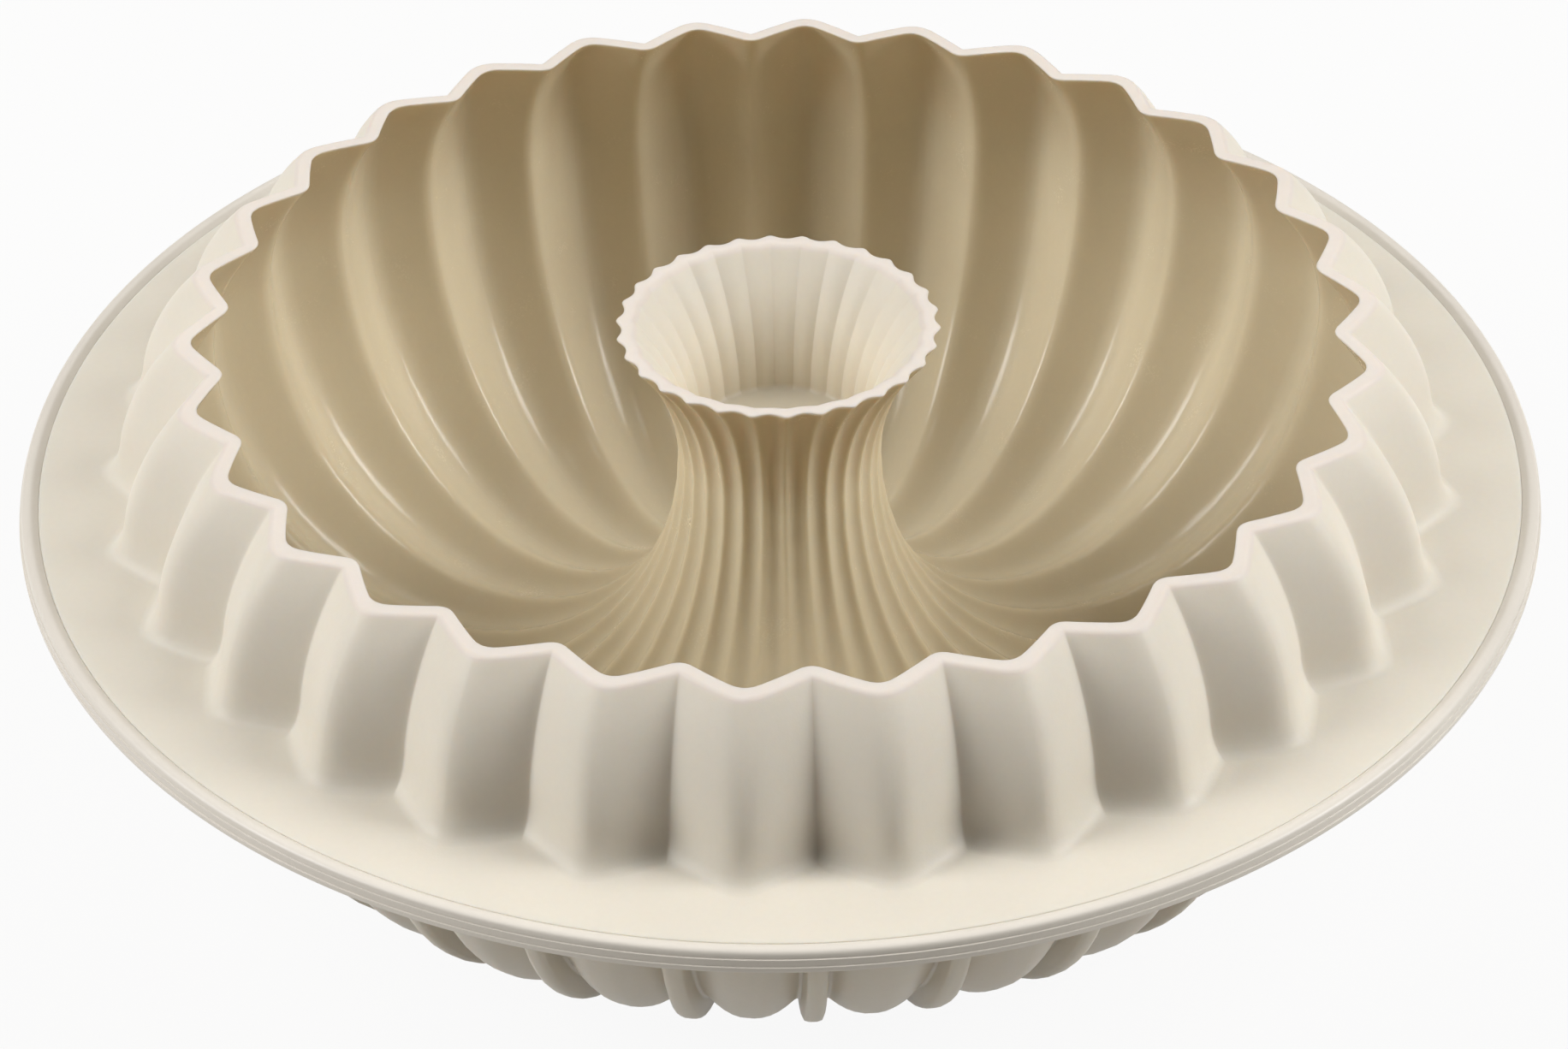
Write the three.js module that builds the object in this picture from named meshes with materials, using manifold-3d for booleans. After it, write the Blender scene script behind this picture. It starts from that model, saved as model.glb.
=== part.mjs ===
// Fluted ring-cake mould: one silicone moulding, stiffened by a ring pressed over the edge of its flange.
// Millimetres, +Z up. The origin lies on the resting plane, under the middle of the mould.
// The trough is half an ellipse below the flange level and part of another one above it. The flutes are
// waves across that section: a crest points out of the trough, a crease points into it.

import * as THREE from 'three';
import { mergeVertices } from 'three/addons/utils/BufferGeometryUtils.js';
import Module from 'manifold-3d';

const wasm = await Module();
wasm.setup();

// Trough, measured to the middle of the flutes
const TROUGH_RADIUS = 59.5; // axis to the middle of the trough
const TROUGH_HALF_WIDTH = 43; // at the flange level
const TROUGH_DEPTH = 51; // floor below the flange level
const RIM_RISE = 25.5; // rim above the flange level
const RIM_DRAW_IN = 10.75; // how far the outer wall leans in between the flange level and the rim
const LIP_RISE = 24.8; // lip of the tube above the flange level
const LIP_FLARE = 9.65; // how far the tube opens out between the flange level and its lip

// Walls
const OUTER_WALL = 3.1; // at the flange level
const TUBE_WALL = 2.3; // at the flange level
const RIM_WALL = 2.6;
const LIP_WALL = 2.5;

// Web that closes the tube
const WEB_TOP = 2.2; // above the flange level
const WEB_THICKNESS = 2;

// Flutes
const FLUTE_COUNT = 30;
const OUTER_FLUTE = 2.9; // half depth of the waves on the outer wall
const TUBE_FLUTE = 0.45; // half depth of the waves in the throat of the tube
const LIP_FLUTE = 0.35; // half depth of the waves at the lip of the tube
const ROUND_SHARE = 0.11; // half width of a rounded crest or ridge, as a share of the flute pitch
const ROUND_DROP = 0.16; // how far a rounded top falls over that half width, as a share of the half depth

// Flange
const FLANGE_WIDTH = 16; // crests of the wall to the outside of the stiffening ring
const FLANGE_TOP = 0.6; // above the flange level
const FLANGE_UNDERSIDE = 2.1; // below the flange level
const TOE_FILLET = 3; // where the wall runs out onto the flange

// Stiffening ring and the tongue that it is pressed over
const RING_WIDTH = 3;
const RING_RISE = 0.6; // above the flange
const RING_DROP = 0.2; // below the flange
const RING_ROUND = 0.8;
const TONGUE_LENGTH = 1.4;
const TONGUE_THICKNESS = 1.2;
const RING_CLEARANCE = 0.3;

// Fins under the trough, one in each crease
const FIN_ROOT = 4; // thickness in the crease
const FIN_EDGE = 3; // thickness along the free edge
const FIN_PROUD = 1; // beyond the crests, under the floor
const FIN_SHY = 0.6; // short of the crests, at the flange level
const FOOT_CUT = 0.4; // trimmed off each fin to give it a flat foot
const FIN_END = THREE.MathUtils.degToRad(125); // round the section, from the flange level

// Facets
const WALL_STEPS = 3;
const SIDE_STEPS = 4;
const FADE_STEPS = 2;
const FUNNEL_STEPS = 3;
const FLOOR_STEPS = 10;
const LIP_STEPS = 3;
const TOE_STEPS = 2;
const WEB_SEGMENTS = 30;
const RING_SEGMENTS = 84;
const RING_ROUND_STEPS = 1; // each gives two facets on a round of the ring

// Derived sizes
const PITCH = (2 * Math.PI) / FLUTE_COUNT;
const THROAT_RADIUS = TROUGH_RADIUS - TROUGH_HALF_WIDTH;
const RIM = openEdge(RIM_RISE, RIM_DRAW_IN, RIM_WALL);
const LIP = openEdge(LIP_RISE, LIP_FLARE, LIP_WALL);
const LOWEST_CREST = TROUGH_DEPTH + wallBelow(TROUGH_RADIUS) + fluteAt(TROUGH_RADIUS);
const FLANGE_LEVEL = LOWEST_CREST + FIN_PROUD - FOOT_CUT;
const FOOT_START = Math.asin(FLANGE_LEVEL / (FLANGE_LEVEL + FOOT_CUT));
const RING_OUTER = TROUGH_RADIUS + TROUGH_HALF_WIDTH + OUTER_WALL + OUTER_FLUTE + FLANGE_WIDTH;
const RING_INNER = RING_OUTER - RING_WIDTH;
const SHOULDER_RADIUS = RING_INNER - RING_CLEARANCE;
const TONGUE_RADIUS = SHOULDER_RADIUS + TONGUE_LENGTH;
const TONGUE_LEVEL = FLANGE_LEVEL + (FLANGE_TOP - FLANGE_UNDERSIDE) / 2;
const TONGUE_TOP = TONGUE_LEVEL + TONGUE_THICKNESS / 2;
const TONGUE_BOTTOM = TONGUE_LEVEL - TONGUE_THICKNESS / 2;

// Places across one flute, as shares of its pitch: the crest is at 0 and the crease at 0.5.
// Outside, crests are rounded and creases sharp. Inside it is the other way round.
const CREST_PLACES = [-ROUND_SHARE, 0, ROUND_SHARE];
const OUTER_PLACES = [...CREST_PLACES, 0.5];
const INNER_PLACES = [0, 0.5 - ROUND_SHARE, 0.5, 0.5 + ROUND_SHARE];

// An open edge of the trough, as an angle round the section, with the ellipse that leads up to it
function openEdge(rise, lean, wall) {
  const angle = Math.acos(1 - lean / TROUGH_HALF_WIDTH);
  return { angle, wall, crown: rise / Math.sin(angle) };
}

// Height of the outside wave: 1 on a crest and -1 in a crease, with straight flanks
function outerWave(place) {
  const flank = (Math.abs(place) - ROUND_SHARE) / (0.5 - ROUND_SHARE);
  const crest = Math.abs(place) / ROUND_SHARE;
  return flank > 0 ? THREE.MathUtils.lerp(1 - ROUND_DROP, -1, flank) : 1 - ROUND_DROP * crest;
}

// The inside wave is the outside one turned over
function innerWave(place) {
  return -outerWave(0.5 - Math.abs(((place + 0.5) % 1) - 0.5));
}

// 0 at the throat of the tube and 1 at the widest part of the outer wall
function outwardShare(radius) {
  return (radius - THROAT_RADIUS) / (2 * TROUGH_HALF_WIDTH);
}

function wallBelow(radius) {
  return THREE.MathUtils.lerp(TUBE_WALL, OUTER_WALL, outwardShare(radius));
}

function fluteAt(radius) {
  return THREE.MathUtils.lerp(TUBE_FLUTE, OUTER_FLUTE, outwardShare(radius));
}

// A place on the trough's section. The angle runs from the rim through 0 at the outer wall, a quarter
// turn down at the floor and half a turn down at the throat of the tube. Walls and flutes are measured
// along (outX, outZ), which stays level above the flange so that the rim and the lip are cut flat.
function sectionAt(angle) {
  const sine = Math.sin(angle);
  const cosine = Math.cos(angle);
  const radius = TROUGH_RADIUS + TROUGH_HALF_WIDTH * cosine;
  if (sine <= 0) {
    const z = FLANGE_LEVEL + TROUGH_DEPTH * sine;
    return { radius, z, wall: wallBelow(radius), flute: fluteAt(radius), outX: cosine, outZ: sine };
  }
  const [edge, rootWall] = cosine > 0 ? [RIM, OUTER_WALL] : [LIP, TUBE_WALL];
  const risen = sine / Math.sin(edge.angle);
  const wall = THREE.MathUtils.lerp(rootWall, edge.wall, risen);
  const flute = cosine > 0 ? fluteAt(radius) : THREE.MathUtils.lerp(TUBE_FLUTE, LIP_FLUTE, risen);
  return { radius, z: FLANGE_LEVEL + edge.crown * sine, wall, flute, outX: Math.sign(cosine), outZ: 0 };
}

// A point of one flute: a place across it, and a distance out of the section
function flutePoint(section, place, out) {
  return { place, radius: section.radius + section.outX * out, z: section.z + section.outZ * out };
}

// Points of one flute on the outside skin
function outerFlute(section, places, extraOut = 0) {
  const base = section.wall + extraOut;
  return places.map((place) => flutePoint(section, place, base + section.flute * outerWave(place)));
}

// Points of one flute on the outside skin, with the fin that stands in its crease
function finnedFlute(turn) {
  const section = sectionAt(-turn);
  const onFoot = turn >= FOOT_START && turn <= Math.PI - FOOT_START;
  const proud = THREE.MathUtils.lerp(-FIN_SHY, FIN_PROUD, Math.sin(turn));
  const edge = flutePoint(section, 0.5, section.wall + section.flute + proud);
  edge.z = onFoot ? 0 : edge.z;
  const sidePlace = (thickness, radius) => 0.5 - thickness / 2 / (radius * PITCH);
  const crease = outerFlute(section, [0.5])[0];
  const root = outerFlute(section, [sidePlace(FIN_ROOT, crease.radius)])[0];
  edge.place = sidePlace(FIN_EDGE, edge.radius);
  const mirrored = [edge, root].map((point) => ({ ...point, place: 1 - point.place }));
  return [...outerFlute(section, CREST_PLACES), root, edge, ...mirrored];
}

function innerFlute(section) {
  return INNER_PLACES.map((place) => flutePoint(section, place, section.flute * innerWave(place)));
}

function roundFlute(radius, z) {
  return OUTER_PLACES.map((place) => ({ place, radius, z }));
}

// Values from start to end, both included
function valuesBetween(start, end, steps) {
  return Array.from({ length: steps + 1 }, (_, i) => start + ((end - start) * i) / steps);
}

// Triangles of one flute between two rings, as steps along either ring. Rings with as many points pair
// them off, and others are zipped together in the order of their places.
function fluteStrip(upper, lower) {
  const triangles = [];
  let i = 0;
  let j = 0;
  while (i < upper.length || j < lower.length) {
    const nextUpper = i < upper.length ? (upper[i + 1]?.place ?? upper[0].place + 1) : Infinity;
    const nextLower = j < lower.length ? (lower[j + 1]?.place ?? lower[0].place + 1) : Infinity;
    const paired = upper.length === lower.length;
    if (paired ? i === j : nextLower <= nextUpper) {
      triangles.push([[0, i], [1, j], [1, j + 1]]);
      j += 1;
    } else {
      triangles.push([[0, i], [1, j], [0, i + 1]]);
      i += 1;
    }
  }
  return triangles;
}

// Skin over rings that follow a closed loop, outer side downwards and inner side upwards. Each ring is
// given by the points of one flute, which repeat round the axis.
function loftLoop(flutes) {
  const starts = [];
  const position = [];
  for (const flute of flutes) {
    starts.push(position.length / 3);
    for (let copy = 0; copy < FLUTE_COUNT; copy += 1) {
      for (const { place, radius, z } of flute) {
        const angle = (copy + place) * PITCH;
        position.push(radius * Math.cos(angle), radius * Math.sin(angle), z);
      }
    }
  }
  const index = [];
  flutes.forEach((upper, row) => {
    const rows = [row, (row + 1) % flutes.length];
    const sizes = rows.map((ring) => flutes[ring].length);
    for (const triangle of fluteStrip(upper, flutes[rows[1]])) {
      for (let copy = 0; copy < FLUTE_COUNT; copy += 1) {
        for (const [side, point] of triangle) {
          const size = sizes[side];
          index.push(starts[rows[side]] + ((copy * size + point) % (FLUTE_COUNT * size)));
        }
      }
    }
  });
  const geometry = new THREE.BufferGeometry();
  geometry.setAttribute('position', new THREE.Float32BufferAttribute(position, 3));
  geometry.setIndex(index);
  return geometry;
}

function toSolid(geometry) {
  const bare = geometry.clone();
  bare.deleteAttribute('normal');
  bare.deleteAttribute('uv');
  const merged = mergeVertices(bare);
  return new wasm.Manifold(new wasm.Mesh({
    numProp: 3,
    vertProperties: new Float32Array(merged.attributes.position.array),
    triVerts: new Uint32Array(merged.index.array),
  }));
}

function toGeometry(solid) {
  const mesh = solid.getMesh();
  const geometry = new THREE.BufferGeometry();
  geometry.setAttribute('position', new THREE.BufferAttribute(mesh.vertProperties, 3));
  geometry.setIndex(new THREE.BufferAttribute(mesh.triVerts, 1));
  geometry.computeVertexNormals();
  return geometry;
}

// Outside of the moulding, with flat tops at the lip and the rim that the trough is then cut out of
function outerSkin() {
  const toeTop = Math.asin((FLANGE_TOP + TOE_FILLET) / RIM.crown);
  const toeSection = sectionAt(toeTop);
  const underside = Math.asin(FLANGE_UNDERSIDE / TROUGH_DEPTH);
  const plain = (turn) => outerFlute(sectionAt(-turn), OUTER_PLACES);
  const toe = (turn) => {
    const section = { ...toeSection, z: toeSection.z - TOE_FILLET * Math.sin(turn) };
    return outerFlute(section, OUTER_PLACES, TOE_FILLET * (1 - Math.cos(turn)));
  };
  const flangeUnderside = FLANGE_LEVEL - FLANGE_UNDERSIDE;
  return loftLoop([
    ...valuesBetween(-RIM.angle, -toeTop, WALL_STEPS).map(plain),
    ...valuesBetween(0, Math.PI / 2, TOE_STEPS).slice(1).map(toe),
    roundFlute(SHOULDER_RADIUS, FLANGE_LEVEL + FLANGE_TOP),
    roundFlute(SHOULDER_RADIUS, TONGUE_TOP),
    roundFlute(TONGUE_RADIUS, TONGUE_TOP),
    roundFlute(TONGUE_RADIUS, TONGUE_BOTTOM),
    roundFlute(SHOULDER_RADIUS, TONGUE_BOTTOM),
    roundFlute(SHOULDER_RADIUS, flangeUnderside),
    ...valuesBetween(underside, FOOT_START, SIDE_STEPS).map(finnedFlute),
    ...valuesBetween(Math.PI - FOOT_START, FIN_END, FADE_STEPS).slice(0, -1).map(finnedFlute),
    ...valuesBetween(FIN_END, Math.PI, FUNNEL_STEPS).map(plain),
    ...valuesBetween(Math.PI, Math.PI + LIP.angle, LIP_STEPS).slice(1).map(plain),
    roundFlute(TROUGH_RADIUS, FLANGE_LEVEL + LIP_RISE),
    roundFlute(TROUGH_RADIUS, FLANGE_LEVEL + RIM_RISE),
  ]);
}

// The space for the batter, carried on above the rim so that it cuts the top open
function troughSpace() {
  const turns = [
    ...valuesBetween(-RIM.angle, 0, WALL_STEPS),
    ...valuesBetween(0, Math.PI, FLOOR_STEPS).slice(1),
    ...valuesBetween(Math.PI, Math.PI + LIP.angle, LIP_STEPS).slice(1),
  ];
  const flutes = turns.map((turn) => innerFlute(sectionAt(-turn)));
  const raised = (flute) => flute.map((point) => ({ ...point, z: point.z + RIM_RISE }));
  return loftLoop([raised(flutes[0]), ...flutes, raised(flutes.at(-1))]);
}

// Web across the tube, as a disc that ends in the middle of the tube's wall
function tubeWeb() {
  const section = sectionAt(-Math.PI - Math.asin(WEB_TOP / LIP.crown));
  const radius = section.radius - section.wall / 2;
  const web = new THREE.CylinderGeometry(radius, radius, WEB_THICKNESS, WEB_SEGMENTS);
  return web.rotateX(Math.PI / 2).translate(0, 0, section.z - WEB_THICKNESS / 2);
}

function mouldBody() {
  const closed = toSolid(outerSkin()).add(toSolid(tubeWeb()));
  return toGeometry(closed.subtract(toSolid(troughSpace())));
}

// Rounded ring with a slot that takes the tongue of the flange
function stiffeningRing() {
  const top = FLANGE_LEVEL + FLANGE_TOP + RING_RISE;
  const bottom = FLANGE_LEVEL - FLANGE_UNDERSIDE - RING_DROP;
  const slotEnd = TONGUE_RADIUS + RING_CLEARANCE;
  const section = new THREE.Path();
  section.moveTo(slotEnd, TONGUE_BOTTOM - RING_CLEARANCE);
  section.lineTo(slotEnd, TONGUE_TOP + RING_CLEARANCE);
  section.lineTo(RING_INNER, TONGUE_TOP + RING_CLEARANCE);
  section.lineTo(RING_INNER, top - RING_ROUND);
  section.absarc(RING_INNER + RING_ROUND, top - RING_ROUND, RING_ROUND, Math.PI, Math.PI / 2, true);
  section.absarc(RING_OUTER - RING_ROUND, top - RING_ROUND, RING_ROUND, Math.PI / 2, 0, true);
  section.absarc(RING_OUTER - RING_ROUND, bottom + RING_ROUND, RING_ROUND, 0, -Math.PI / 2, true);
  section.lineTo(RING_INNER, bottom);
  section.lineTo(RING_INNER, TONGUE_BOTTOM - RING_CLEARANCE);
  section.closePath();
  const outline = section.getPoints(RING_ROUND_STEPS).reverse();
  return new THREE.LatheGeometry(outline, RING_SEGMENTS).rotateX(Math.PI / 2);
}

const silicone = new THREE.MeshStandardMaterial({ color: '#e4ddcd', roughness: 0.55, metalness: 0 });
const nylon = new THREE.MeshStandardMaterial({ color: '#ebe5da', roughness: 0.45, metalness: 0 });

function namedMesh(name, geometry, material) {
  const mesh = new THREE.Mesh(geometry, material);
  mesh.name = name;
  return mesh;
}

const mould = new THREE.Group();
mould.add(namedMesh('silicone_body', mouldBody(), silicone));
mould.add(namedMesh('stiffening_ring', stiffeningRing(), nylon));

export default mould;
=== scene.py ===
"""Fluted silicone ring-cake mould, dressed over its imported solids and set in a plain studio.

Lengths are metres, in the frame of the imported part: the mould stands on z = 0 with its axis along +Z.
A flute's place is a share of the flute pitch: 0 on its crest, which points out of the trough, and 0.5 in
the crease, which points into it.
"""

import math

import bpy
import numpy as np
from bpy.props import FloatProperty, FloatVectorProperty, IntProperty, PointerProperty
from mathutils import Matrix, Vector


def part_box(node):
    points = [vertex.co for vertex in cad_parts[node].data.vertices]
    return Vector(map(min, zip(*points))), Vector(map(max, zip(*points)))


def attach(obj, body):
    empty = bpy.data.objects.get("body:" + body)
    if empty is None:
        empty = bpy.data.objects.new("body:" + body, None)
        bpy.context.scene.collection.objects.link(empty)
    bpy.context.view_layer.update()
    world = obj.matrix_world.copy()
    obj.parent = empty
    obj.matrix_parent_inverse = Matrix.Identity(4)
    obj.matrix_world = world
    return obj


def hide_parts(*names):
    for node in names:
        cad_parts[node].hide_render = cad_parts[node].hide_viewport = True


bl_info = {
    "name": "Silicone Cake Mould",
    "version": (1, 0, 0),
    "blender": (4, 5, 0),
    "location": "3D View > Sidebar > Cake Mould",
    "description": "Builds a fluted silicone ring-cake mould, its stiffening ring and a plain studio",
    "category": "Add Mesh",
}

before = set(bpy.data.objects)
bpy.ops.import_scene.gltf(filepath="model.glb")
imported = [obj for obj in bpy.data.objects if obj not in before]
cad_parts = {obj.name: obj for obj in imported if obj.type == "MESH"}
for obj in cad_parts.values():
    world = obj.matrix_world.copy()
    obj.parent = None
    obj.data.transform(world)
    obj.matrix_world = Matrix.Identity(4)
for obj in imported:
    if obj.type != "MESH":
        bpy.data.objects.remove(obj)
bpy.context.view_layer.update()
BODY_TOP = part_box("silicone_body")[1].z
RING_LOW, RING_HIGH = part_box("stiffening_ring")
RING_RADIUS = max(RING_HIGH.x, RING_HIGH.y)

# Places on the skin of the moulding
RIM_RISE = 0.0255  # rim above the flange level
LIP_START = 0.95  # share of the way up the tube at which its lip begins
RIM_START = 0.96  # share of the way up the outer wall at which its rim begins
WEB_SHARES = (0.0, 0.5, 0.9)  # rows on the web, from the axis towards its edge
FLANGE_SHARES = (0.3, 0.97)  # rows on the flange, from the wall towards its dipped edge
# The cup of the tube takes this share of the batter side's polish and of its painted shade, a darker, warmer
# colour that stands in for the shade inside the trough
CUP_PAINTED_SHADE = 0.45  # share of the batter side's finish in the cup of the tube
CREST_SHARE = 0.7  # most that a crest takes of the room between two fins
REACH_SHARE = 0.9  # most that the roundings on a fin take of a straight stretch
FLANK_SHARE = 0.45  # place of the flank's point between the crest and the root of the fin
OUTWARD = np.array([1.0, 0.0])  # direction of the radius

# Points across half a flute: crest, flank, root and edge of the fin, middle of the fin
CREST_POINTS = 5
FIN_ROUND_STEPS = 2
HALF_STEPS = CREST_POINTS + 2 * (FIN_ROUND_STEPS + 1) + 1

# Steps along the section and on its roundings
TUBE_STEPS = 8
FLOOR_STEPS = 24
INSIDE_STEPS = 8
WALL_STEPS = 10
FIN_STEPS = 24
FUNNEL_STEPS = 7
EDGE_STEPS = 3
TOE_STEPS = 6
UNDER_STEPS = 2

# Keeps the length of a vector from being nothing where it divides
SMALLEST_LENGTH = 1e-12

# The ring
RING_STEPS = 480  # round the axis
RING_CORNER_STEPS = 4
FOOT_ROUND_OUTSIDE = 3.0  # lower outer edge, as a multiple of the small roundings
FOOT_ROUND_INSIDE = 2.0  # lower inner edge, as a multiple of the small roundings

# Noise in the finishes, as lumps per metre and detail
CLOUDS = (38.0, 3.0)
FLECKS = (900.0, 2.0)
GRAIN = (2600.0, 3.0)
SMEARS = (120.0, 4.0)
NOISE_LOW, NOISE_HIGH = 0.3, 0.7  # range that is spread over the whole effect
FLECK_SHARE = 0.35  # strength of the flecks beside that of the clouds

# Optics of silicone and nylon
SILICONE_IOR = 1.43
NYLON_IOR = 1.5
GLOW_WEIGHT = 0.4  # share of the light that spreads inside the silicone
GLOW_RADII = (1.0, 0.75, 0.5)  # how far red, green and blue spread, against the glow's depth
GLOW_DEPTH = 0.003

# Colour sockets of the Mix node, whose names repeat for each type of data
MIX_FIRST, MIX_SECOND, MIX_RESULT = 6, 7, 2

# Camera, lamps and floor
PHOTO_WIDTH = 1832  # pixels
SENSOR_WIDTH = 36.0  # millimetres
LAMP_DISTANCE = 1.2
SIDE_LAMP_SIZE = 0.5
BACK_LAMP_SIZE = 0.8
RIGHT, BACK, LEFT = 0.0, 90.0, 180.0  # degrees round the axis
LOW_FORWARD, LOW_RAISED = 9.0, 30.0  # degrees to the front of the sides, and above the horizon
HIGH_FORWARD, HIGH_RAISED = 0.0, 50.0
BACK_RAISED = 55.0
FLOOR_HALF = 4.0
FLOOR_GAP = 0.0002
FLOOR_ROUGH = 0.9


# Properties


def length(name, description, default):
    """A length in metres, shown in the user's unit."""
    return FloatProperty(
        name=name,
        description=description,
        default=default,
        min=0.0,
        precision=5,
        subtype="DISTANCE",
        unit="LENGTH",
    )


def share(name, description, default):
    """A share between 0 and 1."""
    return FloatProperty(
        name=name, description=description, default=default, min=0.0, max=1.0, subtype="FACTOR"
    )


def turn(name, description, degrees):
    """An angle, given in degrees and kept in radians."""
    return FloatProperty(
        name=name, description=description, default=math.radians(degrees), subtype="ANGLE", unit="ROTATION"
    )


def colour(name, description, default):
    """A linear colour."""
    return FloatVectorProperty(
        name=name, description=description, default=default, size=3, min=0.0, max=1.0, subtype="COLOR"
    )


def power(name, description, default):
    """The power of a lamp in watts."""
    return FloatProperty(
        name=name, description=description, default=default, min=0.0, subtype="POWER", unit="POWER"
    )


def strength(name, description, default):
    """A factor of light, which may be over 1."""
    return FloatProperty(name=name, description=description, default=default, min=0.0)


class TroughSizes(bpy.types.PropertyGroup):
    """Section of the trough, measured to the middle of the flutes, and its walls."""

    radius: length("Trough radius", "Axis to the middle of the trough", 0.0595)
    half_width: length("Half width", "Half the trough's width at the flange level", 0.043)
    depth: length("Depth", "Trough floor below the flange level", 0.051)
    flange_level: length("Flange level", "Flange level above the resting plane", BODY_TOP - RIM_RISE)
    rim_rise: length("Rim rise", "Rim above the flange level", RIM_RISE)
    rim_draw_in: length("Rim draw-in", "How far the outer wall leans in up to the rim", 0.01075)
    lip_rise: length("Lip rise", "Lip of the tube above the flange level", 0.0248)
    lip_flare: length("Lip flare", "How far the tube opens out up to its lip", 0.00965)
    outer_wall: length("Outer wall", "Wall at the outside, at the flange level", 0.0031)
    tube_wall: length("Tube wall", "Wall of the tube, at the flange level", 0.0023)
    rim_wall: length("Rim wall", "Level width of the rim", 0.0026)
    lip_wall: length("Lip wall", "Level width of the lip", 0.0025)
    rim_round: length("Rim round", "Reach of the roundings on the rim", 0.0006)
    lip_round: length("Lip round", "Reach of the roundings on the lip", 0.0008)
    web_top: length("Web top", "Top of the web in the tube, above the flange level", 0.0022)
    web_thickness: length("Web thickness", "Thickness of the web in the tube", 0.002)
    web_round: length("Web round", "Reach of the fillet round the web", 0.0008)


class FluteSizes(bpy.types.PropertyGroup):
    """Waves across the trough's section. Half widths are shares of the flute pitch."""

    count: IntProperty(name="Flutes", description="Number of flutes round the mould", default=30, min=8)
    outer_depth: length("Outer depth", "Half depth of the waves on the outer wall", 0.0029)
    tube_depth: length("Tube depth", "Half depth of the waves in the throat of the tube", 0.00045)
    lip_depth: length("Lip depth", "Half depth of the waves at the lip of the tube", 0.00045)
    tube_share: share("Tube share", "How much of the tube's waves shows on its batter side", 0.6)
    bore_share: share("Bore share", "How much of the tube's waves shows in its cup", 0.35)
    crest_round: share("Crest round", "Half width of a crest on the outer wall, in pitches", 0.14)
    crease_round: share("Crease round", "Half width of a crease on the outside, in pitches", 0.025)
    lobe_round: share("Lobe round", "Half width of a crest below the flange, in pitches", 0.3)
    ridge_round: share("Ridge round", "Half width of a ridge on the batter side, in pitches", 0.09)
    groove_round: share("Groove round", "Half width of a groove on the batter side, in pitches", 0.14)
    rim_groove: share("Rim groove", "Half width of a groove at the rim, in pitches", 0.11)
    tube_ridge: share("Tube ridge", "Half width of a ridge on the tube, in pitches", 0.12)
    tube_groove: share("Tube groove", "Half width of a groove on the tube, in pitches", 0.32)


class FlangeSizes(bpy.types.PropertyGroup):
    """The flange, the tongue at its edge and the stiffening ring that is pressed over it."""

    top: length("Flange top", "Top of the flange above the flange level", 0.0006)
    underside: length("Flange underside", "Underside of the flange below the flange level", 0.0021)
    toe_rise: length("Toe rise", "How far up the wall the fillet at its foot begins", 0.0072)
    toe_reach: length("Toe reach", "How far the fillet at the wall's foot runs out onto the flange", 0.0034)
    shoulder_round: length("Shoulder round", "Width of the dip along the flange's edge", 0.0009)
    shoulder_drop: length("Shoulder drop", "Depth of the dip along the flange's edge", 0.0002)
    shoulder_gap: length("Shoulder gap", "Seam between the flange's edge and the ring", 0.00003)
    ring_width: length("Ring width", "Width of the stiffening ring", 0.0032)
    bead_slope: length("Bead slope", "Width of the slope from the flange up to the top of the ring", 0.0011)
    ring_round: length("Ring round", "Reach of the rounding on top of the ring, outside", 0.0009)
    ring_inner_round: length("Ring inner round", "Reach of the rounding on top of the slope", 0.0005)
    ring_edge: length("Ring edge", "Reach of the rounding on the ring's small edges", 0.0001)
    ring_step: length("Parting step", "Depth of each of the two parting lines round the ring", 0.00022)
    first_line: length("First line", "Upper parting line, below the flange level", 0.00003)
    second_line: length("Second line", "Lower parting line, below the flange level", 0.00133)
    tongue: length("Tongue", "Length of the tongue that the ring is pressed over", 0.0014)
    tongue_thickness: length("Tongue thickness", "Thickness of the tongue", 0.0012)
    clearance: length("Clearance", "Gap between the tongue and the ring", 0.0003)


class FinSizes(bpy.types.PropertyGroup):
    """Fins under the trough, one in each crease."""

    root: length("Fin root", "Thickness of a fin in the crease", 0.004)
    edge: length("Fin edge", "Thickness of a fin along its free edge", 0.003)
    proud: length("Fin proud", "Fin beyond the crests, under the floor", 0.001)
    shy: length("Fin shy", "Fin short of the crests, at the flange level", 0.0006)
    root_round: length("Root round", "Reach of the fillet at the root", 0.0009)
    edge_round: length("Edge round", "Reach of the rounding along the free edge", 0.0009)
    end: turn("Fin end", "Where the fin ends, round the section from the flange level", 125.0)
    fade: turn("Fin fade", "Stretch over which the fin dies away before its end", 16.0)


class SiliconeFinish(bpy.types.PropertyGroup):
    """Colours and gloss of the moulding and the ring, with painted shade on the batter side and painted
    light on the rim and lip.
    """

    cream: colour("Cream", "Colour of the silicone", (0.722, 0.672, 0.575))
    # The batter side's colour is painted shade: darker and warmer than the cream, it stands in for the shade
    # and warm bounced light inside the trough, not for a second colour of silicone
    batter_painted_shade: colour("Batter side", "Colour of the silicone on the batter side", (0.67, 0.587, 0.425))
    # The thin edges' colour is painted light: a pale, pinker colour that stands in for the light falling on
    # the rim and the lip, and keeps the batter side's painted shade off them
    edge_painted_light: colour("Thin edges", "Colour of the silicone on the rim and the lip", (0.715, 0.647, 0.582))
    ring_cream: colour("Ring", "Colour of the stiffening ring", (0.72, 0.67, 0.595))
    outside_rough: share("Outside roughness", "Roughness of the satin outside", 0.5)
    batter_rough: share("Batter roughness", "Roughness of the polished batter side", 0.24)
    ring_rough: share("Ring roughness", "Roughness of the stiffening ring", 0.38)


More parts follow.
